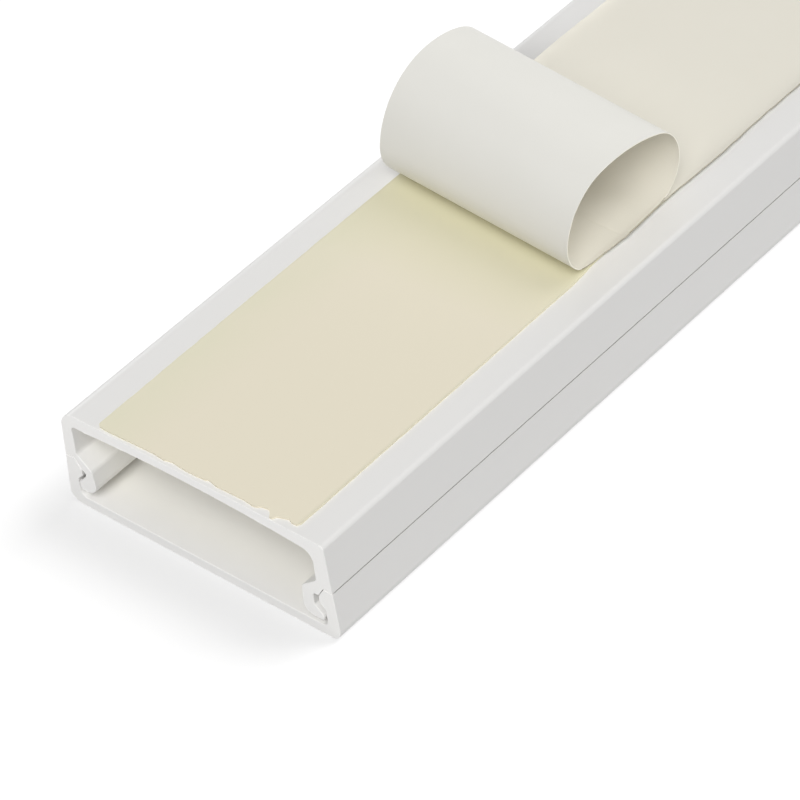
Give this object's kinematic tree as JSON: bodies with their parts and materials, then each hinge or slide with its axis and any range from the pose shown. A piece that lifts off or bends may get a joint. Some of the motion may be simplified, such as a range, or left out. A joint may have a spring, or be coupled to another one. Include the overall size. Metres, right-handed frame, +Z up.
{
  "type": "cord cover raceway",
  "caption": "Straight white plastic cord cover raceway: a flat-backed channel and a cover that snaps onto it, with adhesive tape on the back and a paper liner curling off the tape.",
  "frame": {"origin": "on the floor, under the middle of the stock", "axes": "+Z up, from the cover's face to the adhesive back; +Y along the stock, away from the peeled end; X across it"},
  "size_m": [0.0408, 0.4, 0.0284],
  "materials": {
    "base_pvc": "white rigid PVC, satin, as extruded",
    "cover_pvc": "white rigid PVC, satin, as extruded",
    "tape": "cream adhesive, dull and slightly tacky",
    "liner": "coated paper, off-white, cream on its outer side"
  },
  "bodies": {
    "base": {"base_channel": "base_pvc", "adhesive_tape": "tape", "release_liner": "liner"},
    "cover": {"snap_cover": "cover_pvc"}
  },
  "joints": [
    {"name": "cover_slide", "type": "slide", "parent": "base", "child": "cover", "axis": [0, 1, 0], "range_m": [-0.38, 0.38]}
  ]
}
